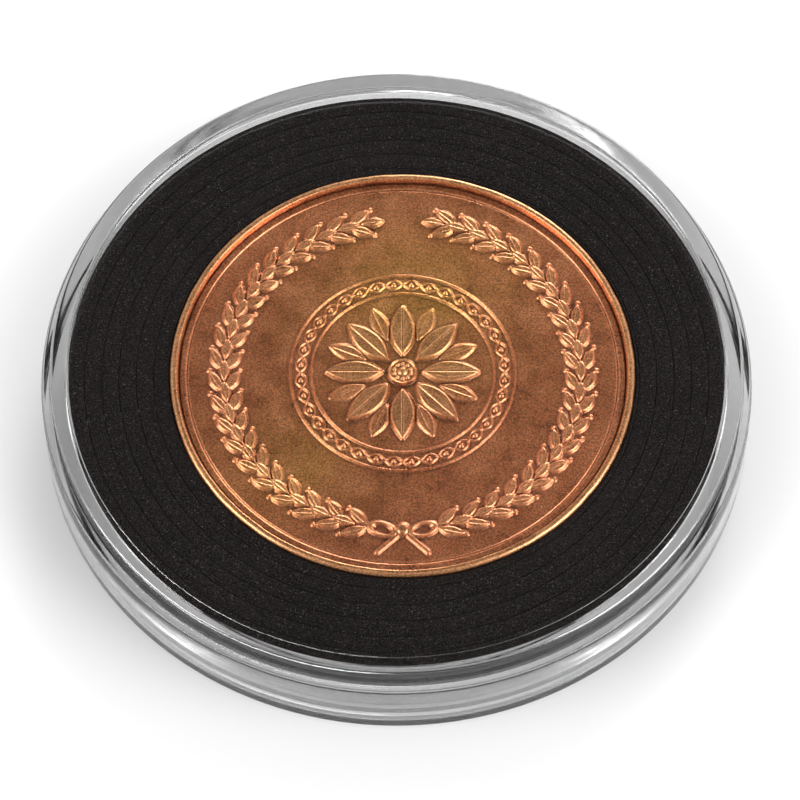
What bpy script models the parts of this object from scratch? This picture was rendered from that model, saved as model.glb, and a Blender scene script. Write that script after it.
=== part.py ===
"""Round coin capsule: a clear two-part shell, a nest of foam rings and a relief medal.

Metres, +Z up. The origin is on the capsule's axis, level with the underside of its foot.
The tray stands on its foot ring. The lid's skirt plugs down inside the tray's wall, and the
foam rings lie inside the skirt, one within the next, round the medal.
"""

import math

import bmesh
import bpy
from mathutils.geometry import tessellate_polygon

MM = 0.001

# Clear shell, all radii from the capsule's axis
SHELL_RADIUS = 41.0 * MM
TRAY_WALL_RADIUS = 40.2 * MM
LID_RADIUS = 39.9 * MM
SKIRT_INNER_RADIUS = 38.3 * MM
RECESS_RADIUS = 37.8 * MM

# Levels up from the surface that the capsule stands on
TRAY_TOP = 8.9 * MM
FLOOR_UNDERSIDE = 0.6 * MM
FLOOR_TOP = 2.4 * MM
WINDOW_UNDERSIDE = 9.1 * MM
WINDOW_TOP = 11.0 * MM
LID_TOP = 11.6 * MM
REST_GAP = 0.3 * MM
EDGE_ROUND = 0.4 * MM
FOOT_ROUND = 0.8 * MM
STEP_ROUND = 0.2 * MM

# Foam insert: nested rings, each named for its outside diameter in millimetres
RING_DIAMETERS_MM = (76, 72, 68, 64, 60, 56)
RING_GAP = 0.3 * MM
FOAM_TOP = 8.3 * MM

# Medal
MEDAL_RADIUS = 26.9 * MM
MEDAL_OFFSET = (0.7 * MM, 0.3 * MM)
MEDAL_TOP = 8.7 * MM
MEDAL_RIM_WIDTH = 1.2 * MM
MEDAL_RIM_ROUND = 0.3 * MM
FIELD_DEPTH = 0.7 * MM
RELIEF_RISE = 0.35 * MM
RELIEF_ROOT = 0.3 * MM

TURN_STEPS = 96
MEDAL_STEPS = 128
ROUND_STEPS = 3
SMOOTH_ANGLE = math.radians(30)
ACRYLIC_INDEX = 1.49


def clear_scene():
    for old in list(bpy.data.objects):
        bpy.data.objects.remove(old)


def plain_material(name, colour, roughness, metallic=0.0, transmission=0.0):
    material = bpy.data.materials.new(name)
    material.use_nodes = True
    shader = material.node_tree.nodes["Principled BSDF"]
    shader.inputs["Base Color"].default_value = (*colour, 1.0)
    shader.inputs["Roughness"].default_value = roughness
    shader.inputs["Metallic"].default_value = metallic
    shader.inputs["Transmission Weight"].default_value = transmission
    shader.inputs["IOR"].default_value = ACRYLIC_INDEX
    return material


def arc(centre_r, centre_z, radius, start, end, steps=ROUND_STEPS):
    """Points of a round corner, from one angle to another in degrees."""
    points = []
    for step in range(steps + 1):
        angle = math.radians(start + (end - start) * step / steps)
        points.append((centre_r + radius * math.cos(angle), centre_z + radius * math.sin(angle)))
    return points


def add_object(name, bm, material, location=(0.0, 0.0, 0.0)):
    bmesh.ops.recalc_face_normals(bm, faces=bm.faces[:])
    mesh = bpy.data.meshes.new(name)
    bm.to_mesh(mesh)
    bm.free()
    mesh.shade_smooth()
    mesh.set_sharp_from_angle(angle=SMOOTH_ANGLE)
    mesh.materials.append(material)
    item = bpy.data.objects.new(name, mesh)
    item.location = location
    bpy.context.collection.objects.link(item)
    return item


def turned(profile, steps, hole_centre=(0.0, 0.0), hole_points=()):
    """A solid of revolution. Profile points on the axis close it; others make a ring.

    Points listed in hole_points turn about hole_centre, for a bore that is off the axis.
    """
    bm = bmesh.new()
    rows = []
    for index, (radius, level) in enumerate(profile):
        if radius == 0.0:
            rows.append([bm.verts.new((0.0, 0.0, level))])
            continue
        shift = hole_centre if index in hole_points else (0.0, 0.0)
        row = []
        for step in range(steps):
            angle = 2.0 * math.pi * step / steps
            x = shift[0] + radius * math.cos(angle)
            y = shift[1] + radius * math.sin(angle)
            row.append(bm.verts.new((x, y, level)))
        rows.append(row)
    pairs = list(zip(rows, rows[1:]))
    if profile[0][0] > 0.0:
        pairs.append((rows[-1], rows[0]))
    for lower, upper in pairs:
        for step in range(steps):
            after = (step + 1) % steps
            if len(lower) == 1:
                bm.faces.new((lower[0], upper[step], upper[after]))
            elif len(upper) == 1:
                bm.faces.new((lower[step], upper[0], lower[after]))
            else:
                bm.faces.new((lower[step], upper[step], upper[after], lower[after]))
    return bm


def tray_profile():
    """Floor with a shallow recess below it, a rounded foot ring and an upright wall."""
    profile = [(0.0, FLOOR_UNDERSIDE), (RECESS_RADIUS, FLOOR_UNDERSIDE)]
    profile += [(RECESS_RADIUS + STEP_ROUND, 0.0)]
    profile += arc(SHELL_RADIUS - FOOT_ROUND, FOOT_ROUND, FOOT_ROUND, -90, 0)
    profile += arc(SHELL_RADIUS - EDGE_ROUND, TRAY_TOP - EDGE_ROUND, EDGE_ROUND, 0, 90)
    profile += [(TRAY_WALL_RADIUS, TRAY_TOP), (TRAY_WALL_RADIUS, FLOOR_TOP), (0.0, FLOOR_TOP)]
    return profile


def lid_profile():
    """Window with a raised rounded rim round it and a skirt that reaches down to the tray's floor."""
    skirt_end = FLOOR_TOP + REST_GAP
    profile = [(0.0, WINDOW_UNDERSIDE), (SKIRT_INNER_RADIUS, WINDOW_UNDERSIDE)]
    profile += [(SKIRT_INNER_RADIUS, skirt_end), (LID_RADIUS - STEP_ROUND, skirt_end)]
    profile += [(LID_RADIUS, skirt_end + STEP_ROUND)]
    profile += arc(LID_RADIUS - EDGE_ROUND, LID_TOP - EDGE_ROUND, EDGE_ROUND, 0, 90)
    profile += arc(RECESS_RADIUS + STEP_ROUND, LID_TOP - STEP_ROUND, STEP_ROUND, 90, 180, 2)
    profile += [(RECESS_RADIUS, WINDOW_TOP), (0.0, WINDOW_TOP)]
    return profile


def build_shell(clear):
    add_object("base_shell", turned(tray_profile(), TURN_STEPS), clear)
    add_object("lid_shell", turned(lid_profile(), TURN_STEPS), clear)


def build_foam(foam):
    """Cut rings of one foam sheet. The innermost one closes round the medal."""
    bottom = FLOOR_TOP + REST_GAP
    for index, diameter in enumerate(RING_DIAMETERS_MM):
        outer = diameter / 2 * MM
        centre = (0.0, 0.0)
        if index + 1 < len(RING_DIAMETERS_MM):
            inner = RING_DIAMETERS_MM[index + 1] / 2 * MM + RING_GAP
        else:
            inner = MEDAL_RADIUS + RING_GAP
            centre = MEDAL_OFFSET
        profile = [(inner, bottom), (outer, bottom), (outer, FOAM_TOP), (inner, FOAM_TOP)]
        ring = turned(profile, TURN_STEPS, hole_centre=centre, hole_points=(0, 3))
        add_object(f"foam_ring_{diameter}", ring, foam)


# Outlines of the medal's relief, in millimetres from the medal's centre

def round_outline(x, y, across, along, turn, steps):
    """An ellipse turned by an angle in radians."""
    outline = []
    for step in range(steps):
        angle = 2.0 * math.pi * step / steps
        u = across / 2 * math.cos(angle)
        v = along / 2 * math.sin(angle)
        turned_u = u * math.cos(turn) - v * math.sin(turn)
        turned_v = u * math.sin(turn) + v * math.cos(turn)
        outline.append((x + turned_u, y + turned_v))
    return outline


def bar_outline(start, end, width):
    """A straight bar between two points."""
    dx = end[0] - start[0]
    dy = end[1] - start[1]
    length = math.hypot(dx, dy)
    px = -dy / length * width / 2
    py = dx / length * width / 2
    return [
        (start[0] - px, start[1] - py),
        (end[0] - px, end[1] - py),
        (end[0] + px, end[1] + py),
        (start[0] + px, start[1] + py),
    ]


def add_plate(bm, outline, holes=(), rise=RELIEF_RISE):
    """One raised plate, with a root that reaches down into the medal's field."""
    field = MEDAL_TOP - FIELD_DEPTH
    loops = [[(x * MM, y * MM, 0.0) for x, y in loop] for loop in (outline, *holes)]
    lower = []
    upper = []
    for loop in loops:
        lower.append([bm.verts.new((x, y, field - RELIEF_ROOT)) for x, y, _ in loop])
        upper.append([bm.verts.new((x, y, field + rise)) for x, y, _ in loop])
    flat_lower = [vert for loop in lower for vert in loop]
    flat_upper = [vert for loop in upper for vert in loop]
    for a, b, c in tessellate_polygon(loops):
        bm.faces.new((flat_upper[a], flat_upper[b], flat_upper[c]))
        bm.faces.new((flat_lower[c], flat_lower[b], flat_lower[a]))
    for below, above in zip(lower, upper):
        count = len(below)
        for index in range(count):
            after = (index + 1) % count
            bm.faces.new((below[index], below[after], above[after], above[index]))


# Wreath: two laurel branches that rise from a bow at the foot and stop short of each other
WREATH_RADIUS = 20.6
LEAVES_PER_BRANCH = 15
BRANCH_START = 16.0
BRANCH_END = 168.0
LEAF_SIZE = (1.0, 2.8)
LEAF_REACH = 1.1
LEAF_TILT = 0.5
KNOT_WIDTH = 1.4
LOOP_CENTRE = 2.4
LOOP_SIZE = (2.8, 1.5)
LOOP_OPENING = (1.8, 0.7)
LOOP_TILT = 0.3
TAIL_START = (0.9, -21.8)
TAIL_END = (2.8, -23.4)
TAIL_WIDTH = 0.5

# Rosette in the middle, and the band of beads between two fine rings round it
PETALS = 8
LONG_PETAL_RADIUS = 5.6
LONG_PETAL_SIZE = (6.6, 2.8)
SHORT_PETAL_RADIUS = 7.6
SHORT_PETAL_SIZE = (2.8, 1.0)
BOSS_WIDTH = 3.2
BEADS = 36
BEAD_CIRCLE = 11.8
BEAD_WIDTH = 1.1
RING_CIRCLES = (10.6, 13.0)
RING_WIDTH = 0.3
RING_STEPS = 48


def add_round(bm, radius, angle, size, turn=0.0, steps=8):
    """A raised ellipse centred on a circle about the medal's centre."""
    x = radius * math.cos(angle)
    y = radius * math.sin(angle)
    add_plate(bm, round_outline(x, y, *size, turn, steps))


def add_branch(bm, side):
    """One laurel branch, its leaves in pairs that lean forward and outward from the stem."""
    sweep = BRANCH_END - BRANCH_START
    for index in range(LEAVES_PER_BRANCH):
        turn = BRANCH_START + sweep * index / (LEAVES_PER_BRANCH - 1)
        angle = math.radians(270 + side * turn)
        for row in (-1, 1):
            tilt = angle - side * row * LEAF_TILT
            add_round(bm, WREATH_RADIUS + row * LEAF_REACH, angle, LEAF_SIZE, tilt)


def add_bow(bm):
    """The knot at the foot of the wreath, with a loop and a tail on each side."""
    add_plate(bm, round_outline(0.0, -WREATH_RADIUS, KNOT_WIDTH, KNOT_WIDTH, 0.0, 8))
    for side in (-1, 1):
        place = (side * LOOP_CENTRE, -WREATH_RADIUS)
        tilt = side * LOOP_TILT
        opening = round_outline(*place, *LOOP_OPENING, tilt, 12)
        add_plate(bm, round_outline(*place, *LOOP_SIZE, tilt, 12), [opening])
        start = (side * TAIL_START[0], TAIL_START[1])
        end = (side * TAIL_END[0], TAIL_END[1])
        add_plate(bm, bar_outline(start, end, TAIL_WIDTH))


def add_rosette(bm):
    """A flower of long petals with short ones between their tips, round a boss."""
    add_round(bm, 0.0, 0.0, (BOSS_WIDTH, BOSS_WIDTH), steps=16)
    for index in range(PETALS):
        angle = 2.0 * math.pi * index / PETALS
        between = angle + math.pi / PETALS
        add_round(bm, LONG_PETAL_RADIUS, angle, LONG_PETAL_SIZE, angle, 12)
        add_round(bm, SHORT_PETAL_RADIUS, between, SHORT_PETAL_SIZE, between)


def add_bead_band(bm):
    """A circle of beads between two fine rings."""
    for circle in RING_CIRCLES:
        outer = 2 * circle + RING_WIDTH
        inner = 2 * circle - RING_WIDTH
        hole = round_outline(0.0, 0.0, inner, inner, 0.0, RING_STEPS)
        add_plate(bm, round_outline(0.0, 0.0, outer, outer, 0.0, RING_STEPS), [hole])
    for index in range(BEADS):
        angle = 2.0 * math.pi * index / BEADS
        add_round(bm, BEAD_CIRCLE, angle, (BEAD_WIDTH, BEAD_WIDTH), steps=6)


def build_medal(bronze):
    """A struck blank with a raised rim, its relief joined on by a union."""
    bottom = FLOOR_TOP + REST_GAP
    field = MEDAL_TOP - FIELD_DEPTH
    rim_inner = MEDAL_RADIUS - MEDAL_RIM_WIDTH
    profile = [(0.0, bottom + FIELD_DEPTH), (rim_inner, bottom + FIELD_DEPTH)]
    profile += [(rim_inner + MEDAL_RIM_ROUND, bottom)]
    profile += [(MEDAL_RADIUS - MEDAL_RIM_ROUND, bottom), (MEDAL_RADIUS, bottom + MEDAL_RIM_ROUND)]
    profile += [(MEDAL_RADIUS, MEDAL_TOP - MEDAL_RIM_ROUND), (MEDAL_RADIUS - MEDAL_RIM_ROUND, MEDAL_TOP)]
    profile += [(rim_inner + MEDAL_RIM_ROUND, MEDAL_TOP), (rim_inner, field), (0.0, field)]
    place = (*MEDAL_OFFSET, 0.0)
    medal = add_object("medal", turned(profile, MEDAL_STEPS), bronze, place)

    relief_mesh = bmesh.new()
    add_branch(relief_mesh, -1)
    add_branch(relief_mesh, 1)
    add_bow(relief_mesh)
    add_rosette(relief_mesh)
    add_bead_band(relief_mesh)
    relief = add_object("medal_relief", relief_mesh, bronze, place)
    relief.hide_render = True
    relief.display_type = "WIRE"

    union = medal.modifiers.new("relief", "BOOLEAN")
    union.operation = "UNION"
    union.solver = "EXACT"
    union.object = relief


def main():
    clear_scene()
    build_shell(plain_material("clear_acrylic", (0.95, 0.96, 0.97), 0.03, transmission=1.0))
    build_foam(plain_material("black_foam", (0.021, 0.018, 0.017), 0.95))
    build_medal(plain_material("bronze", (0.43, 0.19, 0.075), 0.35, metallic=1.0))


main()
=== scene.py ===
"""Looks of the round coin capsule: clear shells, foam rings and a struck medal, lit softly.

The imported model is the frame. Each CAD node is replaced by a finer piece of the same size,
which rides on the same body. Lengths below are in millimetres unless a name says otherwise.
"""

import math

import bmesh
import bpy
import numpy as np
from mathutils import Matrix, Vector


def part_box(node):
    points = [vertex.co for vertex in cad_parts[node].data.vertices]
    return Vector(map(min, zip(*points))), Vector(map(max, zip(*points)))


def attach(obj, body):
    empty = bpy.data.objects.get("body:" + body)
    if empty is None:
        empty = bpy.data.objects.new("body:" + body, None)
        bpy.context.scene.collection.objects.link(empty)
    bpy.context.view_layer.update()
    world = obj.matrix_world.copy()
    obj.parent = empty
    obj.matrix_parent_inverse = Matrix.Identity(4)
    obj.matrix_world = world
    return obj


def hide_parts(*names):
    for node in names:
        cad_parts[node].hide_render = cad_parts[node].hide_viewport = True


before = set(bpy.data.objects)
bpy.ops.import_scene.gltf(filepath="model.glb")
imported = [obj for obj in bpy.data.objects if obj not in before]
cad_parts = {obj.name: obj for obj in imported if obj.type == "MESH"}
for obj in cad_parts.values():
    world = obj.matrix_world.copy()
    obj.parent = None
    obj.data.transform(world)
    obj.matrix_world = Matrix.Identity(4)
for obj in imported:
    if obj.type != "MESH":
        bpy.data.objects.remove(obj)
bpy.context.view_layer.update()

MM = 0.001

# ---------------------------------------------------------------- levels and radii from the frame


def node_reach(node):
    """The radius, foot and top of a round node, in millimetres."""
    low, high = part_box(node)
    return (high[0] - low[0]) / 2 / MM, low[2] / MM, high[2] / MM


SHELL_RADIUS, _, TRAY_TOP = node_reach("base_shell")
LID_RADIUS, SKIRT_END, LID_TOP = node_reach("lid_shell")
MEDAL_RADIUS, MEDAL_BOTTOM, MEDAL_TOP = node_reach("medal")
RING_NODES = ["foam_ring_76", "foam_ring_72", "foam_ring_68", "foam_ring_64", "foam_ring_60", "foam_ring_56"]
FOAM_RADIUS, _, _ = node_reach(RING_NODES[0])
medal_low, medal_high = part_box("medal")
MEDAL_X = (medal_low[0] + medal_high[0]) / 2 / MM
MEDAL_Y = (medal_low[1] + medal_high[1]) / 2 / MM

# Gaps at rest: skirt to foam and to the tray's floor, and tray wall to skirt
REST_GAP = 0.3
WALL_GAP = 0.2
TRAY_WALL_RADIUS = LID_RADIUS + WALL_GAP
SKIRT_INNER_RADIUS = FOAM_RADIUS + REST_GAP
RECESS_RADIUS = 37.8
FLOOR_UNDERSIDE = 0.6
FLOOR_TOP = SKIRT_END - REST_GAP
WINDOW_UNDERSIDE = LID_TOP - 2.5
WINDOW_TOP = LID_TOP - 0.6
FOOT_ROUND = 0.8
EDGE_ROUND = 0.4
STEP_ROUND = 0.2
SKIRT_CHAMFER = 0.15
RECESS_CHAMFER = 0.1
WINDOW_CHAMFER = 0.05
RIPPLE_DEPTH = 0.03
RIPPLE_SINK = 0.02
HAZE_BLEND = 0.3

FOAM_GAP = 0.05
FOAM_EDGE = 0.05
FOAM_CORNER = 0.3
FOAM_RAGGED = 0.05
FOAM_SWELL = 0.03
MEDAL_CLEARANCE = 0.08

# Edges sharper than this are drawn sharp
SHARP_TURNED = math.radians(32)
SHARP_STRUCK = math.radians(60)

TURN_STEPS = 480
FACE_CELLS = 560


# ---------------------------------------------------------------- materials

FOAM_DARK = (0.0105, 0.0085, 0.0078)
FOAM_LIGHT = (0.0145, 0.0120, 0.0112)
FOAM_SPECK = (0.13, 0.12, 0.115)

BRONZE_RED = (0.72, 0.255, 0.110)
BRONZE_GOLDEN = (0.80, 0.395, 0.100)
BRONZE_DARK_CLOUD = (0.54, 0.185, 0.078)
BRONZE_MOTTLE = (0.74, 0.320, 0.150)
BRONZE_WORN = (0.90, 0.470, 0.205)
# Painted shade laid into the medal's hollows, near black
BRONZE_PAINTED_SHADE = (0.055, 0.018, 0.010)


class Nodes:
    """Short calls for building one material's node tree."""

    def __init__(self, name):
        self.material = bpy.data.materials.new(name)
        self.material.use_nodes = True
        self.tree = self.material.node_tree
        self.shader = self.tree.nodes["Principled BSDF"]
        self.output = self.tree.nodes["Material Output"]

    def add(self, kind, **settings):
        node = self.tree.nodes.new(kind)
        for key, value in settings.items():
            setattr(node, key, value)
        return node

    def link(self, source, target):
        self.tree.links.new(source, target)

    def coordinates(self):
        return self.add("ShaderNodeTexCoord").outputs["Object"]

    def noise(self, scale, detail=4.0, rough=0.5, stretch=(1.0, 1.0, 1.0)):
        mapping = self.add("ShaderNodeMapping")
        mapping.inputs["Scale"].default_value = stretch
        self.link(self.coordinates(), mapping.inputs["Vector"])
        node = self.add("ShaderNodeTexNoise")
        node.inputs["Scale"].default_value = scale
        node.inputs["Detail"].default_value = detail
        node.inputs["Roughness"].default_value = rough
        self.link(mapping.outputs["Vector"], node.inputs["Vector"])
        return node.outputs["Fac"]

    def ramp(self, value, stops):
        node = self.add("ShaderNodeValToRGB")
        ramp = node.color_ramp
        while len(ramp.elements) < len(stops):
            ramp.elements.new(0.5)
        for element, (position, colour) in zip(ramp.elements, stops):
            element.position = position
            if isinstance(colour, (int, float)):
                colour = (colour, colour, colour)
            element.color = (*colour, 1.0)
        self.link(value, node.inputs["Fac"])
        return node.outputs["Color"]

    def mix(self, factor, first, second, blend="MIX"):
        node = self.add("ShaderNodeMix", data_type="RGBA", blend_type=blend)
        for socket, value in ((node.inputs[0], factor), (node.inputs[6], first), (node.inputs[7], second)):
            if isinstance(value, bpy.types.NodeSocket):
                self.link(value, socket)
            elif isinstance(value, (int, float)):
                socket.default_value = value
            else:
                socket.default_value = (*value, 1.0)
        return node.outputs[2]

    def bump(self, height, strength, distance):
        node = self.add("ShaderNodeBump")
        node.inputs["Strength"].default_value = strength
        node.inputs["Distance"].default_value = distance
        self.link(height, node.inputs["Height"])
        return node.outputs["Normal"]


def clear_acrylic():
    """Clear moulded acrylic with faint handling haze. It lets the lamps' light through."""
    n = Nodes("clear_acrylic")
    n.shader.inputs["Base Color"].default_value = (0.985, 0.985, 0.985, 1.0)
    n.shader.inputs["Transmission Weight"].default_value = 1.0
    n.shader.inputs["IOR"].default_value = 1.49
    smears = n.noise(420.0, 6.0, 0.65)
    window_haze = n.ramp(smears, [(0.40, 0.0), (0.75, 0.04)])
    wall_haze = n.ramp(smears, [(0.40, 0.04), (0.75, 0.13)])
    spread = n.add("ShaderNodeVectorMath", operation="MULTIPLY")
    spread.inputs[1].default_value = (1.0, 1.0, 0.0)
    n.link(n.coordinates(), spread.inputs[0])
    reach = n.add("ShaderNodeVectorMath", operation="LENGTH")
    n.link(spread.outputs["Vector"], reach.inputs[0])
    towards_wall = n.add("ShaderNodeMapRange")
    towards_wall.inputs["From Min"].default_value = (RECESS_RADIUS - HAZE_BLEND) * MM
    towards_wall.inputs["From Max"].default_value = (RECESS_RADIUS + HAZE_BLEND) * MM
    n.link(reach.outputs["Value"], towards_wall.inputs["Value"])
    haze = n.mix(towards_wall.outputs["Result"], window_haze, wall_haze)
    n.link(haze, n.shader.inputs["Roughness"])
    flow = n.noise(90.0, 3.0, 0.5, (1.0, 1.0, 6.0))
    n.link(n.bump(flow, 0.03, 0.0002), n.shader.inputs["Normal"])
    path = n.add("ShaderNodeLightPath")
    clear = n.add("ShaderNodeBsdfTransparent")
    clear.inputs["Color"].default_value = (0.82, 0.82, 0.82, 1.0)
    either = n.add("ShaderNodeMath", operation="MAXIMUM")
    n.link(path.outputs["Is Shadow Ray"], either.inputs[0])
    n.link(path.outputs["Is Diffuse Ray"], either.inputs[1])
    mixed = n.add("ShaderNodeMixShader")
    n.link(either.outputs[0], mixed.inputs[0])
    n.link(n.shader.outputs[0], mixed.inputs[1])
    n.link(clear.outputs[0], mixed.inputs[2])
    n.link(mixed.outputs[0], n.output.inputs["Surface"])
    return n.material


def black_foam():
    """Fine closed-cell foam: near black, matt, with pale specks and a pitted skin."""
    n = Nodes("black_foam")
    cells = n.noise(4600.0, 3.0, 0.7)
    specks = n.noise(5600.0, 2.0, 0.5)
    cloud = n.noise(60.0, 3.0, 0.5)
    ground = n.ramp(cloud, [(0.3, FOAM_DARK), (0.7, FOAM_LIGHT)])
    grain = n.ramp(cells, [(0.40, 0.15), (0.60, 1.95)])
    colour = n.mix(1.0, ground, grain, "MULTIPLY")
    pale = n.ramp(specks, [(0.64, 0.0), (0.74, 1.0)])
    colour = n.mix(pale, colour, FOAM_SPECK)
    n.link(colour, n.shader.inputs["Base Color"])
    n.shader.inputs["Roughness"].default_value = 0.95
    n.shader.inputs["Specular IOR Level"].default_value = 0.12
    n.link(n.bump(cells, 0.6, 0.00008), n.shader.inputs["Normal"])
    return n.material


def bronze():
    """Struck bronze: red-brown near the rim, golden in patches and where it is handled, with dark red-brown
    painted shade in the hollows and a painted sheen in the lower-left golden patch.
    """
    n = Nodes("bronze")
    height = n.add("ShaderNodeAttribute", attribute_name="relief").outputs["Fac"]
    cavity_shade = n.add("ShaderNodeAttribute", attribute_name="cavity_shade").outputs["Fac"]
    golden = n.add("ShaderNodeAttribute", attribute_name="golden").outputs["Fac"]
    cloud = n.noise(75.0, 5.0, 0.6)
    mottle = n.noise(330.0, 5.0, 0.65)
    fine = n.noise(4300.0, 3.0, 0.7)
    # Golden patina above the middle, and at the lower left partly a painted sheen
    field = n.mix(golden, BRONZE_RED, BRONZE_GOLDEN)
    field = n.mix(n.ramp(cloud, [(0.38, 0.50), (0.62, 0.0)]), field, BRONZE_DARK_CLOUD)
    field = n.mix(n.ramp(mottle, [(0.42, 0.0), (0.72, 0.55)]), field, BRONZE_MOTTLE)
    worn = n.mix(n.ramp(height, [(0.2, 0.0), (1.0, 0.55)]), field, BRONZE_WORN)
    # Painted shade: the hollows are darkened towards near black, the deeper the darker
    colour = n.mix(cavity_shade, worn, BRONZE_PAINTED_SHADE)
    grain = n.ramp(fine, [(0.38, 0.60), (0.62, 1.42)])
    n.link(n.mix(1.0, colour, grain, "MULTIPLY"), n.shader.inputs["Base Color"])
    n.shader.inputs["Metallic"].default_value = 0.9
    n.shader.inputs["Coat Weight"].default_value = 0.55
    n.shader.inputs["Coat Roughness"].default_value = 0.22
    rough = n.ramp(mottle, [(0.3, 0.25), (0.7, 0.36)])
    n.link(rough, n.shader.inputs["Roughness"])
    n.link(n.bump(fine, 0.3, 0.00003), n.shader.inputs["Normal"])
    return n.material


# ---------------------------------------------------------------- turned pieces


def arc(centre_r, centre_z, radius, start, end, steps=6):
    points = []
    for step in range(steps + 1):
        angle = math.radians(start + (end - start) * step / steps)
        points.append((centre_r + radius * math.cos(angle), centre_z + radius * math.sin(angle)))
    return points


def finish_mesh(name, bm, material):
    bmesh.ops.recalc_face_normals(bm, faces=bm.faces[:])
    mesh = bpy.data.meshes.new(name)
    bm.to_mesh(mesh)
    bm.free()
    mesh.shade_smooth()
    mesh.set_sharp_from_angle(angle=SHARP_TURNED)
    mesh.materials.append(material)
    piece = bpy.data.objects.new(name, mesh)
    bpy.context.collection.objects.link(piece)
    return piece


def turned(name, profile, material, centre=None, wobble=None):
    """A turned solid. centre gives each point's own axis and wobble shifts it by angle."""
    bm = bmesh.new()
    rows = []
    for index, (radius, level) in enumerate(profile):
        axis = centre[index] if centre else (0.0, 0.0)
        if radius == 0.0:
            rows.append([bm.verts.new((axis[0] * MM, axis[1] * MM, level * MM))])
            continue
        row = []
        for step in range(TURN_STEPS):
            angle = 2.0 * math.pi * step / TURN_STEPS
            dr, dz = wobble(index, angle) if wobble else (0.0, 0.0)
            x = axis[0] + (radius + dr) * math.cos(angle)
            y = axis[1] + (radius + dr) * math.sin(angle)
            row.append(bm.verts.new((x * MM, y * MM, (level + dz) * MM)))
        rows.append(row)
    pairs = list(zip(rows, rows[1:]))
    if profile[0][0] > 0.0:
        pairs.append((rows[-1], rows[0]))
    for lower, upper in pairs:
        for step in range(TURN_STEPS):
            after = (step + 1) % TURN_STEPS
            if len(lower) == 1:
                bm.faces.new((lower[0], upper[step], upper[after]))
            elif len(upper) == 1:
                bm.faces.new((lower[step], upper[0], lower[after]))
            else:
                bm.faces.new((lower[step], upper[step], upper[after], lower[after]))
    return finish_mesh(name, bm, material)


def wave_sum(seed, count, low, high):
    """A smooth ripple round the axis: a few sine waves with seeded rates and phases."""
    draw = np.random.default_rng(seed)
    rates = draw.integers(low, high, count)
    phases = draw.uniform(0.0, 2.0 * math.pi, count)
    return lambda angle: float(np.sin(rates * angle + phases).sum()) / count


def build_tray(material):
    """Floor, foot ring and upright wall, with a faint moulded ripple along the wall's top."""
    profile = [(0.0, FLOOR_UNDERSIDE), (RECESS_RADIUS - RECESS_CHAMFER, FLOOR_UNDERSIDE)]
    profile += [(RECESS_RADIUS, FLOOR_UNDERSIDE - RECESS_CHAMFER), (RECESS_RADIUS + STEP_ROUND, 0.0)]
    profile += arc(SHELL_RADIUS - FOOT_ROUND, FOOT_ROUND, FOOT_ROUND, -90, 0)
    profile += arc(SHELL_RADIUS - EDGE_ROUND, TRAY_TOP - EDGE_ROUND, EDGE_ROUND, 0, 90)
    wall_top = range(len(profile) - 2, len(profile) + 1)
    profile += [(TRAY_WALL_RADIUS, TRAY_TOP), (TRAY_WALL_RADIUS, FLOOR_TOP), (0.0, FLOOR_TOP)]
    ripple = wave_sum(5, 14, 60, 200)

    def wobble(index, angle):
        if index in wall_top:
            return 0.0, min(0.0, RIPPLE_DEPTH * ripple(angle) - RIPPLE_SINK)
        return 0.0, 0.0

    piece = turned("tray", profile, material, wobble=wobble)
    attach(piece, "base")
    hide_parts("base_shell")


def build_lid(material):
    """Window, raised rim and skirt."""
    profile = [(0.0, WINDOW_UNDERSIDE), (SKIRT_INNER_RADIUS - SKIRT_CHAMFER, WINDOW_UNDERSIDE)]
    profile += [(SKIRT_INNER_RADIUS, WINDOW_UNDERSIDE - SKIRT_CHAMFER)]
    profile += [(SKIRT_INNER_RADIUS, SKIRT_END), (LID_RADIUS - STEP_ROUND, SKIRT_END)]
    profile += [(LID_RADIUS, SKIRT_END + STEP_ROUND)]
    profile += arc(LID_RADIUS - EDGE_ROUND, LID_TOP - EDGE_ROUND, EDGE_ROUND, 0, 90)
    profile += arc(RECESS_RADIUS + STEP_ROUND, LID_TOP - STEP_ROUND, STEP_ROUND, 90, 180, 4)
    profile += [(RECESS_RADIUS, WINDOW_TOP + WINDOW_CHAMFER), (RECESS_RADIUS - WINDOW_CHAMFER, WINDOW_TOP)]
    profile += [(0.0, WINDOW_TOP)]
    piece = turned("lid", profile, material)
    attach(piece, "lid")
    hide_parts("lid_shell")


# Which points of a ring's section are its outer side and which its upper one
FOAM_OUTER_POINTS = range(1, 6)
FOAM_UPPER_POINTS = range(3, 9)

# The cut on a ring's inner side runs this angle ahead of the one on its outer side
INNER_CUT_AHEAD = 0.3


def foam_profile(inner, outer, bottom, top):
    """A ring's section, from the foot of its bore outwards, up and back."""
    edge = FOAM_EDGE
    turn = FOAM_EDGE * FOAM_CORNER
    profile = [(inner + edge, bottom), (outer - edge, bottom), (outer, bottom + edge)]
    profile += [(outer, top - edge), (outer - turn, top - turn), (outer - edge, top)]
    profile += [(inner + edge, top), (inner + turn, top - turn), (inner, top - edge)]
    profile += [(inner, bottom + edge)]
    return profile


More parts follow.
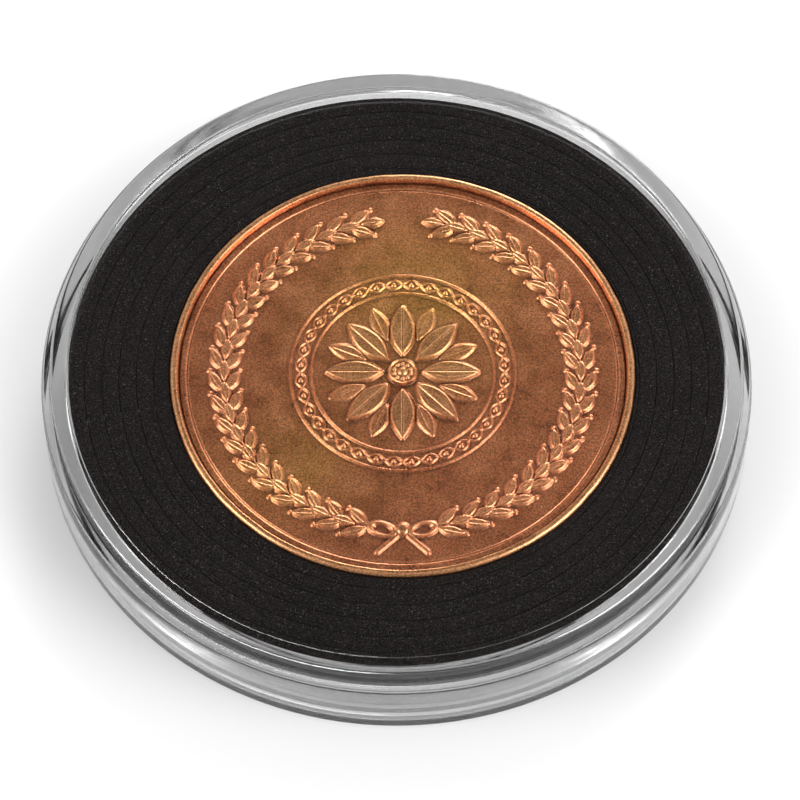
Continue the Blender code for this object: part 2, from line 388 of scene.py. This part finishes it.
def build_foam(material):
    """Rings parted by a knife: fine gaps with slightly ragged walls and softly turned edges."""
    for index, node in enumerate(RING_NODES):
        outer, bottom, top = node_reach(node)
        if index + 1 < len(RING_NODES):
            inner = node_reach(RING_NODES[index + 1])[0] + FOAM_GAP
            hole = (0.0, 0.0)
        else:
            inner = MEDAL_RADIUS + MEDAL_CLEARANCE
            hole = (MEDAL_X, MEDAL_Y)
        profile = foam_profile(inner, outer, bottom, top)
        centre = [(0.0, 0.0) if k in FOAM_OUTER_POINTS else hole for k in range(len(profile))]
        ragged = wave_sum(20 + index, 12, 30, 170)
        swell = wave_sum(60 + index, 5, 2, 9)

        def wobble(k, angle, ragged=ragged, swell=swell):
            if k in FOAM_OUTER_POINTS:
                cut = -FOAM_RAGGED * abs(ragged(angle))
            else:
                cut = FOAM_RAGGED * abs(ragged(angle + INNER_CUT_AHEAD))
            lift = FOAM_SWELL * min(0.0, swell(angle)) if k in FOAM_UPPER_POINTS else 0.0
            return cut, lift

        body = "ring_" + node.split("_")[-1]
        piece = turned(body, profile, material, centre=centre, wobble=wobble)
        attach(piece, body)
        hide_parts(node)


# ---------------------------------------------------------------- the medal's relief
# Distances are negative inside a shape. X and Y are arrays in millimetres from the medal's centre.
# Each raised or sunk shape has a height and a width over which its edge is rounded, called soft.

EDGE_SOFTNESS = 1.35
RELIEF_SCALE = 0.8
FINE_SOFT = 0.12
OUTSIDE = 1.0

RIM_FOOT = 25.72
RIM_SLOPE = 0.42
RIM_HEIGHT = 0.75
RIM_ROUND = 0.4
RIM_CREST = 26.3
RIM_CROWN = 0.14
STEP_FOOT = 24.95
STEP_SLOPE = 0.16
STEP_HEIGHT = 0.05
GROOVE_CIRCLE = 24.86
GROOVE_HALF = 0.06
GROOVE_DEPTH = 0.16

# Wreath of two branches, by angle up from the foot
WREATH_RADIUS = 20.6
BRANCH_START = math.radians(11)
BRANCH_END = math.radians(170)
SPRAYS = 20
STEM_HALF = 0.10
STEM_HEIGHT = 0.22
SIDE_LEAF = (1.58, 0.66)
SIDE_LEAF_HEIGHT = 0.44
MIDDLE_LEAF = (1.40, 0.62)
MIDDLE_LEAF_HEIGHT = 0.52
LEAF_OUT = 0.95
LEAF_LEAN = 0.52
LEAF_SOFT = 0.34
VEIN_HALF = 0.04
VEIN_DEPTH = 0.14
VEIN_MARGIN = 0.12
BERRY_RADIUS = 0.24
BERRY_OUT = 1.75
BERRY_HEIGHT = 0.34
BERRY_SOFT = 0.2

# Bow at the wreath's foot
KNOT_RADIUS = 0.75
KNOT_HEIGHT = 0.56
KNOT_SOFT = 0.5
LOOP_CENTRE = 2.3
LOOP_HALVES = (1.45, 0.78)
LOOP_TILT = 0.30
LOOP_HEIGHT = 0.46
LOOP_SOFT = 0.24
RIBBON_HALF = 0.20
TAIL_START = (0.7, -21.4)
TAIL_END = (2.9, -23.5)
TAIL_HALF = 0.30
TAIL_HEIGHT = 0.34
TAIL_SOFT = 0.2
CREASE_HALF = 0.03
CREASE_DEPTH = 0.12

# Rosette in the middle. A petal has the radius of its middle, half its length and half its width
PETALS = 8
LONG_PETAL = (5.6, 3.4, 1.45)
LONG_PETAL_HEIGHT = 0.58
SHORT_PETAL = (6.9, 2.3, 0.95)
SHORT_PETAL_HEIGHT = 0.34
PETAL_SOFT = 0.40
PETAL_VEIN_HALF = 0.05
PETAL_VEIN_DEPTH = 0.16
PETAL_VEIN_SOFT = 0.14
PETAL_VEIN_MARGIN = 0.15
RIB_PLACE = 0.45
RIB_HALF = 0.03
RIB_DEPTH = 0.06
RIB_MARGIN = 0.25
BOSS_RADIUS = 1.6
BOSS_BASE = 0.25
BOSS_MARGIN = 0.1
BOSS_RING = (0.16, 0.26, 0.18)
SEEDS = 10
SEED_CIRCLE = 1.0
SEED_RADIUS = 0.2
SEED_HEIGHT = 0.22
SEED_SOFT = 0.16
DOME_RADIUS = 0.48
DOME_HEIGHT = 0.34
DOME_SOFT = 0.34

# Band of beads and woven lines round the rosette
BAND_RADIUS = 11.8
BAND_HALF = 1.0
BAND_EDGES = (10.6, 13.0)
BAND_EDGE_HEIGHT = 0.34
BAND_BEADS = 36
BAND_BEAD_RADIUS = 0.26
BAND_BEAD_HEIGHT = 0.36
BAND_BEAD_SOFT = 0.24
WEAVE_SWING = 0.55
WEAVE_HEIGHT = 0.26
LINE_HALF = 0.09
LINE_SOFT = 0.14

# The back: a plainer wreath and a small flower
BACK_CIRCLE = 19.5
BACK_LEAVES = 32
BACK_LEAF = (1.7, 0.55)
BACK_LEAF_OUT = 1.0
BACK_LEAF_LEAN = 0.5
BACK_LEAF_HEIGHT = 0.3
BACK_LEAF_SOFT = 0.2
BACK_STEM_HALF = 0.1
BACK_STEM_HEIGHT = 0.2
BACK_STEM_SOFT = 0.16
BACK_PETALS = 12
BACK_PETAL_SPREAD = 4.0
BACK_PETAL_MIDDLE = 3.6
BACK_PETAL = (1.6, 0.75)
BACK_PETAL_HEIGHT = 0.34
BACK_PETAL_SOFT = 0.24
BACK_BOSS_RADIUS = 1.3
BACK_BOSS_HEIGHT = 0.4
BACK_BOSS_SOFT = 0.3


def disc(x, y, cx, cy, radius):
    return np.hypot(x - cx, y - cy) - radius


def bar(x, y, start, end, half):
    dx = end[0] - start[0]
    dy = end[1] - start[1]
    t = np.clip(((x - start[0]) * dx + (y - start[1]) * dy) / (dx * dx + dy * dy), 0.0, 1.0)
    return np.hypot(x - start[0] - t * dx, y - start[1] - t * dy) - half


def ellipse(x, y, cx, cy, long_half, short_half, turn):
    u = (x - cx) * math.cos(turn) + (y - cy) * math.sin(turn)
    v = -(x - cx) * math.sin(turn) + (y - cy) * math.cos(turn)
    return (np.hypot(u / long_half, v / short_half) - 1.0) * short_half


def leaf(along, across, long_half, short_half, lean):
    """A pointed leaf, its long way turned by the lean."""
    u = along * math.cos(lean) + across * math.sin(lean)
    v = across * math.cos(lean) - along * math.sin(lean)
    taper = 1.0 - (u / long_half) ** 2
    return np.where(taper > 0.0, np.abs(v) - short_half * taper, OUTSIDE)


def repeat(x, start, pitch, count):
    """x measured from the middle of the nearest of count bays."""
    bay = np.clip(np.floor((x - start) / pitch), 0, count - 1)
    return x - start - pitch * (bay + 0.5)


def full_turn(x, y):
    """The angle of each point about the centre, from 0 to a full turn."""
    return np.mod(np.arctan2(y, x), 2.0 * math.pi)


def eased(t):
    """A smooth step from 0 to 1."""
    return t * t * (3.0 - 2.0 * t)


class Relief:
    """Collects raised and sunk shapes over the grid's points."""

    def __init__(self, x, y):
        self.x = x
        self.y = y
        self.z = np.zeros_like(x)
        self.reach = np.hypot(x, y)

    def rise(self, distance, height, soft):
        """The height of a raised shape, rounded at its edge."""
        return height * RELIEF_SCALE * eased(np.clip(0.5 - distance / (soft * EDGE_SOFTNESS), 0.0, 1.0))

    def add(self, distance, height, soft=FINE_SOFT):
        """Raises a shape from the field. Where shapes cross, the higher one shows."""
        self.z = np.maximum(self.z, self.rise(distance, height, soft))

    def sink(self, distance, depth, soft=FINE_SOFT):
        self.z = self.z - self.rise(distance, depth, soft)

    def lay(self, distance, height, soft=FINE_SOFT):
        """Adds on top of whatever is below."""
        self.z = self.z + self.rise(distance, height, soft)


def add_wreath(r):
    """Two laurel branches: leaves in threes along a stem, with berries between them."""
    reach = r.reach - WREATH_RADIUS
    climb = np.arctan2(np.abs(r.x), -r.y)
    pitch = (BRANCH_END - BRANCH_START) / SPRAYS
    inside = (climb > BRANCH_START) & (climb < BRANCH_END)
    along = repeat(climb, BRANCH_START, pitch, SPRAYS) * WREATH_RADIUS
    r.add(np.where(inside, np.abs(reach) - STEM_HALF, OUTSIDE), STEM_HEIGHT)
    for side in (1, -1):
        lean = side * LEAF_LEAN
        offset = reach - side * LEAF_OUT
        blade = leaf(along, offset, *SIDE_LEAF, lean)
        r.add(np.where(inside, blade, OUTSIDE), SIDE_LEAF_HEIGHT, LEAF_SOFT)
        vein = np.abs(offset * math.cos(lean) - along * math.sin(lean)) - VEIN_HALF
        r.sink(np.where(inside & (blade < -VEIN_MARGIN), vein, OUTSIDE), VEIN_DEPTH)
    staggered = (climb > BRANCH_START + pitch / 2) & (climb < BRANCH_END + pitch / 2)
    between = repeat(climb, BRANCH_START + pitch / 2, pitch, SPRAYS) * WREATH_RADIUS
    middle = leaf(between, reach, *MIDDLE_LEAF, 0.0)
    r.add(np.where(staggered, middle, OUTSIDE), MIDDLE_LEAF_HEIGHT, LEAF_SOFT)
    r.sink(np.where(staggered & (middle < -VEIN_MARGIN), np.abs(reach) - VEIN_HALF, OUTSIDE), VEIN_DEPTH)
    for side in (1, -1):
        berry = disc(between, reach, 0.0, side * BERRY_OUT, BERRY_RADIUS)
        r.add(np.where(staggered, berry, OUTSIDE), BERRY_HEIGHT, BERRY_SOFT)


def add_bow(r):
    """The ribbon at the wreath's foot: a knot, two loops and two tails."""
    across = np.abs(r.x)
    loop = ellipse(across, r.y, LOOP_CENTRE, -WREATH_RADIUS, *LOOP_HALVES, LOOP_TILT)
    r.add(np.abs(loop) - RIBBON_HALF, LOOP_HEIGHT, LOOP_SOFT)
    r.add(bar(across, r.y, TAIL_START, TAIL_END, TAIL_HALF), TAIL_HEIGHT, TAIL_SOFT)
    r.sink(bar(across, r.y, TAIL_START, TAIL_END, CREASE_HALF), CREASE_DEPTH)
    r.add(disc(r.x, r.y, 0.0, -WREATH_RADIUS, KNOT_RADIUS), KNOT_HEIGHT, KNOT_SOFT)


def add_petals(r, petal, turn, height):
    """A ring of pointed petals, each with a vein down its middle and a rib on each side of it."""
    centre, long_half, short_half = petal
    angle = np.mod(np.arctan2(r.y, r.x) + turn, 2.0 * math.pi)
    across = repeat(angle, 0.0, 2.0 * math.pi / PETALS, PETALS) * r.reach
    along = (r.reach - centre) / long_half
    width = short_half * np.clip(1.0 - along * along, 0.0, 1.0)
    outline = np.where(np.abs(along) < 1.0, np.abs(across) - width, OUTSIDE)
    r.add(outline, height, PETAL_SOFT)
    vein = np.where(outline < -PETAL_VEIN_MARGIN, np.abs(across) - PETAL_VEIN_HALF, OUTSIDE)
    r.sink(vein, PETAL_VEIN_DEPTH, PETAL_VEIN_SOFT)
    for side in (1, -1):
        rib = np.abs(across - side * RIB_PLACE * width) - RIB_HALF
        r.sink(np.where(outline < -RIB_MARGIN, rib, OUTSIDE), RIB_DEPTH)


def add_rosette(r):
    """Long petals over short ones, round a domed boss with a ring of seeds."""
    add_petals(r, SHORT_PETAL, 0.0, SHORT_PETAL_HEIGHT)
    add_petals(r, LONG_PETAL, math.pi / PETALS, LONG_PETAL_HEIGHT)
    r.z = np.where(r.reach < BOSS_RADIUS + BOSS_MARGIN, BOSS_BASE, r.z)
    half, height, soft = BOSS_RING
    r.lay(np.abs(r.reach - BOSS_RADIUS) - half, height, soft)
    seeds = repeat(full_turn(r.x, r.y), 0.0, 2.0 * math.pi / SEEDS, SEEDS) * r.reach
    r.lay(disc(seeds, r.reach, 0.0, SEED_CIRCLE, SEED_RADIUS), SEED_HEIGHT, SEED_SOFT)
    r.lay(r.reach - DOME_RADIUS, DOME_HEIGHT, DOME_SOFT)


def add_bead_band(r):
    """Beads in the eyes of two woven lines, between two fine rings."""
    angle = full_turn(r.x, r.y)
    for edge in BAND_EDGES:
        r.add(np.abs(r.reach - edge) - LINE_HALF, BAND_EDGE_HEIGHT, LINE_SOFT)
    wave = WEAVE_SWING * np.sin(angle * BAND_BEADS / 2)
    near = np.abs(r.reach - BAND_RADIUS) < BAND_HALF
    for swing in (wave, -wave):
        line = np.abs(r.reach - BAND_RADIUS - swing) - LINE_HALF
        r.add(np.where(near, line, OUTSIDE), WEAVE_HEIGHT, LINE_SOFT)
    beads = repeat(angle, 0.0, 2.0 * math.pi / BAND_BEADS, BAND_BEADS) * r.reach
    r.add(disc(beads, r.reach, 0.0, BAND_RADIUS, BAND_BEAD_RADIUS), BAND_BEAD_HEIGHT, BAND_BEAD_SOFT)


def add_rim(r):
    """The struck edge: a crowned rim, a flat step inside it and a fine engraved line."""
    r.z = np.maximum(r.z, RIM_HEIGHT * eased(np.clip((r.reach - RIM_FOOT) / RIM_SLOPE, 0.0, 1.0)))
    r.z = np.maximum(r.z, STEP_HEIGHT * np.clip((r.reach - STEP_FOOT) / STEP_SLOPE, 0.0, 1.0))
    crown = np.clip((r.reach - RIM_CREST) / (MEDAL_RADIUS - RIM_CREST), -1.0, 1.0)
    r.z = np.where(r.reach > RIM_FOOT, r.z - RIM_CROWN * crown * crown, r.z)
    r.sink(np.abs(r.reach - GROOVE_CIRCLE) - GROOVE_HALF, GROOVE_DEPTH)
    fall = np.clip((r.reach - (MEDAL_RADIUS - RIM_ROUND)) / RIM_ROUND, 0.0, 1.0)
    r.z = r.z - RIM_ROUND * (1.0 - np.sqrt(np.maximum(0.0, 1.0 - fall * fall)))


def obverse(x, y):
    """The front: a rosette in a band of beads, inside a tied laurel wreath."""
    r = Relief(x, y)
    add_wreath(r)
    add_bow(r)
    add_rosette(r)
    add_bead_band(r)
    add_rim(r)
    return r.z


def reverse(x, y):
    """The back: a laurel wreath round a plain field with a small flower."""
    r = Relief(x, y)
    angle = full_turn(x, y)
    local = repeat(angle, 0.0, 2.0 * math.pi / BACK_LEAVES, BACK_LEAVES) * BACK_CIRCLE
    for side in (1, -1):
        place = side * BACK_LEAF_OUT
        blade = ellipse(local, r.reach - BACK_CIRCLE, 0.0, place, *BACK_LEAF, side * BACK_LEAF_LEAN)
        r.add(blade, BACK_LEAF_HEIGHT, BACK_LEAF_SOFT)
    r.add(np.abs(r.reach - BACK_CIRCLE) - BACK_STEM_HALF, BACK_STEM_HEIGHT, BACK_STEM_SOFT)
    petals = repeat(angle, 0.0, 2.0 * math.pi / BACK_PETALS, BACK_PETALS) * BACK_PETAL_SPREAD
    petal = ellipse(r.reach - BACK_PETAL_MIDDLE, petals, 0.0, 0.0, *BACK_PETAL, 0.0)
    r.add(petal, BACK_PETAL_HEIGHT, BACK_PETAL_SOFT)
    r.add(r.reach - BACK_BOSS_RADIUS, BACK_BOSS_HEIGHT, BACK_BOSS_SOFT)
    add_rim(r)
    return r.z


def disc_grid(cells):
    """Square grid points bent into a disc, so that its edge is one smooth circle."""
    t = np.linspace(-1.0, 1.0, cells + 1)
    u, v = np.meshgrid(t, t)
    x = u * np.sqrt(1.0 - v * v / 2.0) * MEDAL_RADIUS
    y = v * np.sqrt(1.0 - u * u / 2.0) * MEDAL_RADIUS
    return x, y


# Rates and phases of the waves that say where the medal's edge is worn
WEAR_WAVES = ((5, 0.4), (11, 2.0), (23, 4.1), (47, 1.3))
WEAR_SPAN = 3.0
WEAR_SHARE = 0.0016


def wear(angle):
    """How far the medal's edge is worn in, from 0 to 1, by angle."""
    ripple = sum(np.sin(rate * angle + phase) for rate, phase in WEAR_WAVES)
    return np.clip(ripple / WEAR_SPAN, 0.0, 1.0)


# Golden patches above the middle and at the lower left: middle, squared spread each way, share. The
# lower-left patch is partly a painted sheen of light from the left.
GOLDEN_PATCHES = (((1.0, 9.0), (170.0, 120.0), 1.0), ((-12.0, -12.0), (70.0, 45.0), 0.8))


def patina_and_sheen(x, y):
    """Golden tone from 0 to 1, strongest in the middle of each patch and lost towards the rim. The
    lower-left patch is partly a painted sheen.
    """
    tone = 0.0
    for (cx, cy), (spread_x, spread_y), share in GOLDEN_PATCHES:
        tone = tone + share * np.exp(-((x - cx) ** 2 / spread_x + (y - cy) ** 2 / spread_y))
    return np.clip(tone, 0.0, 1.0)


def blurred(z, passes):
    """Each point's height mixed with its four neighbours', over and over."""
    for _ in range(passes):
        p = np.pad(z, 1, mode="edge")
        z = (p[1:-1, 1:-1] * 4 + p[:-2, 1:-1] + p[2:, 1:-1] + p[1:-1, :-2] + p[1:-1, 2:]) / 8
    return z


def grid_faces(cells, offset, flip):
    index = np.arange((cells + 1) ** 2).reshape(cells + 1, cells + 1) + offset
    a, b, c, d = index[:-1, :-1], index[:-1, 1:], index[1:, 1:], index[1:, :-1]
    order = (a, d, c, b) if flip else (a, b, c, d)
    return np.stack(order, -1).reshape(-1, 4).tolist()


def grid_edge(cells, offset):
    """The grid's border points, anticlockwise seen from above."""
    index = np.arange((cells + 1) ** 2).reshape(cells + 1, cells + 1) + offset
    sides = (index[0, :-1], index[:-1, -1], index[-1, :0:-1], index[:0:-1, 0])
    return np.concatenate(sides).tolist()


# How the relief drives the bronze: heights that count as handled, and depths that get painted shade
HANDLED_FROM = 0.10
HANDLED_SPAN = 0.45
CAVITY_BLUR = 20
CAVITY_DEPTH = 0.10
CAVITY_SHARE = 0.85


def edge_band(top, bottom):
    """Faces that close the edge between the front's grid and the back's, which is half as fine."""
    faces = []
    count = len(bottom)
    for k in range(count):
        upper = [top[2 * k], top[2 * k + 1], top[(2 * k + 2) % len(top)]]
        faces.append([bottom[k], bottom[(k + 1) % count]] + upper[::-1])
    return faces


def build_medal(material):
    """Front and back as fine height grids, joined round the edge into one closed mesh."""
    faces = []
    points = []
    edges = []
    values = {"relief": [], "cavity_shade": [], "golden": []}
    for cells, design, level, facing in (
        (FACE_CELLS, obverse, MEDAL_TOP - RIM_HEIGHT, 1.0),
        (FACE_CELLS // 2, reverse, MEDAL_BOTTOM + RIM_HEIGHT, -1.0),
    ):
        offset = sum(len(p) for p in points)
        x, y = disc_grid(cells)
        z = design(x, y)
        hollow = blurred(z, CAVITY_BLUR) - z
        worn = 1.0 - WEAR_SHARE * wear(np.arctan2(y, x)) * (np.hypot(x, y) > RIM_FOOT)
        points.append(np.stack((x * worn, y * worn, level + facing * z), -1).reshape(-1, 3))
        values["relief"].append(np.clip((z - HANDLED_FROM) / HANDLED_SPAN, 0.0, 1.0).ravel())
        # Painted shade: how far each point lies below its blurred surroundings, for darkening the hollows
        values["cavity_shade"].append((np.clip(hollow / CAVITY_DEPTH, 0.0, 1.0) * CAVITY_SHARE).ravel())
        # Golden tone, with a painted sheen in the lower-left patch
        values["golden"].append(patina_and_sheen(x, y).ravel())
        faces += grid_faces(cells, offset, facing < 0)
        edges.append(grid_edge(cells, offset))
    faces += edge_band(*edges)
    all_points = np.concatenate(points) + np.array((MEDAL_X, MEDAL_Y, 0.0))
    mesh = bpy.data.meshes.new("struck_medal")
    mesh.from_pydata((all_points * MM).tolist(), [], faces)
    for name, parts in values.items():
        attribute = mesh.attributes.new(name, "FLOAT", "POINT")
        attribute.data.foreach_set("value", np.concatenate(parts).astype(np.float32))
    mesh.shade_smooth()
    mesh.set_sharp_from_angle(angle=SHARP_STRUCK)
    mesh.materials.append(material)
    mesh.update()
    piece = bpy.data.objects.new("struck_medal", mesh)
    bpy.context.collection.objects.link(piece)
    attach(piece, "medal")
    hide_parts("medal")


# ---------------------------------------------------------------- floor, light and camera

# Lengths from here on are in metres
FLOOR_HALF = 2.5
FLOOR_DROP = 0.02 * MM

CAMERA_ELEVATION = math.radians(60.24)
CAMERA_DISTANCE = 0.532
CAMERA_AIM = (0.0004, -0.0036, 0.0091)
CAMERA_LENS = 208.2

# The dark patch of the room that the window mirrors, and the room's strength
CAP_ELEVATION = math.radians(62.0)
ROOM_STRENGTH = 0.80

# Each lamp's azimuth and elevation in degrees, distance, side and watts
LAMPS = {
    "back": (-14, 22, 1.0, 0.42, 6.0),
    "right": (-112, 30, 1.0, 0.7, 8.0),
    "left": (108, 30, 1.0, 0.7, 7.0),
}


def build_floor():
    """A wide pale sheet a hair below the foot ring, so that the two don't coincide."""
    n = Nodes("paper_floor")
    n.shader.inputs["Base Color"].default_value = (0.93, 0.93, 0.93, 1.0)
    n.shader.inputs["Roughness"].default_value = 0.85
    n.shader.inputs["Specular IOR Level"].default_value = 0.1
    fibre = n.noise(900.0, 4.0, 0.6)
    n.link(n.bump(fibre, 0.05, 0.0001), n.shader.inputs["Normal"])
    bm = bmesh.new()
    corners = []
    for side_x, side_y in ((-1, -1), (1, -1), (1, 1), (-1, 1)):
        corners.append(bm.verts.new((side_x * FLOOR_HALF, side_y * FLOOR_HALF, -FLOOR_DROP)))
    bm.faces.new(corners)
    floor = finish_mesh("floor", bm, n.material)


def soft_lamp(name, azimuth, elevation, distance, size, watts):
    """A square lamp aimed at the capsule. Azimuth 0 is behind it, 90 to its left."""
    lamp = bpy.data.lights.new(name, "AREA")
    lamp.shape = "SQUARE"
    lamp.size = size
    lamp.energy = watts
    item = bpy.data.objects.new(name, lamp)
    turn = math.radians(azimuth)
    lift = math.radians(elevation)
    item.location = (
        -distance * math.cos(lift) * math.sin(turn),
        distance * math.cos(lift) * math.cos(turn),
        distance * math.sin(lift),
    )
    item.rotation_euler = (math.pi / 2 - lift, 0.0, math.pi + turn)
    bpy.context.collection.objects.link(item)


def build_world():
    """A pale room, brighter behind the capsule, dark where the window would mirror it."""
    world = bpy.data.worlds.new("room")
    bpy.context.scene.world = world
    world.use_nodes = True
    tree = world.node_tree
    background = tree.nodes["Background"]
    coordinates = tree.nodes.new("ShaderNodeTexCoord")

    def brightness(direction, stops):
        """Light by how far a direction is from the given one, as stops of their dot product."""
        towards = tree.nodes.new("ShaderNodeVectorMath")
        towards.operation = "DOT_PRODUCT"
        towards.inputs[1].default_value = direction
        tree.links.new(coordinates.outputs["Generated"], towards.inputs[0])
        ramp = tree.nodes.new("ShaderNodeValToRGB")
        while len(ramp.color_ramp.elements) < len(stops):
            ramp.color_ramp.elements.new(0.5)
        for element, (position, level) in zip(ramp.color_ramp.elements, stops):
            element.position = (position + 1.0) / 2.0
            element.color = (level, level, level, 1.0)
        spread = tree.nodes.new("ShaderNodeMapRange")
        spread.inputs["From Min"].default_value = -1.0
        tree.links.new(towards.outputs["Value"], spread.inputs["Value"])
        tree.links.new(spread.outputs["Result"], ramp.inputs["Fac"])
        return ramp.outputs["Color"]

    upward = (0.0, math.cos(CAP_ELEVATION), math.sin(CAP_ELEVATION))
    cap = brightness(upward, [(0.84, 1.0), (0.975, 0.015)])
    back = brightness((0.25, 0.95, 0.15), [(-0.7, 0.30), (0.5, 1.0)])
    product = tree.nodes.new("ShaderNodeMix")
    product.data_type = "RGBA"
    product.blend_type = "MULTIPLY"
    product.inputs[0].default_value = 1.0
    tree.links.new(cap, product.inputs[6])
    tree.links.new(back, product.inputs[7])
    tree.links.new(product.outputs[2], background.inputs["Color"])
    background.inputs["Strength"].default_value = ROOM_STRENGTH


def build_camera():
    data = bpy.data.cameras.new("camera")
    data.sensor_width = 36.0
    data.lens = CAMERA_LENS
    data.clip_start = 0.01
    camera = bpy.data.objects.new("camera", data)
    camera.location = (
        CAMERA_AIM[0],
        CAMERA_AIM[1] - CAMERA_DISTANCE * math.cos(CAMERA_ELEVATION),
        CAMERA_AIM[2] + CAMERA_DISTANCE * math.sin(CAMERA_ELEVATION),
    )
    camera.rotation_euler = (math.pi / 2 - CAMERA_ELEVATION, 0.0, 0.0)
    bpy.context.collection.objects.link(camera)
    bpy.context.scene.camera = camera


def main():
    acrylic = clear_acrylic()
    build_tray(acrylic)
    build_lid(acrylic)
    build_foam(black_foam())
    build_medal(bronze())
    build_floor()
    build_world()
    for name, settings in LAMPS.items():
        soft_lamp(name, *settings)
    build_camera()
    bpy.context.scene.view_settings.view_transform = "Standard"


main()
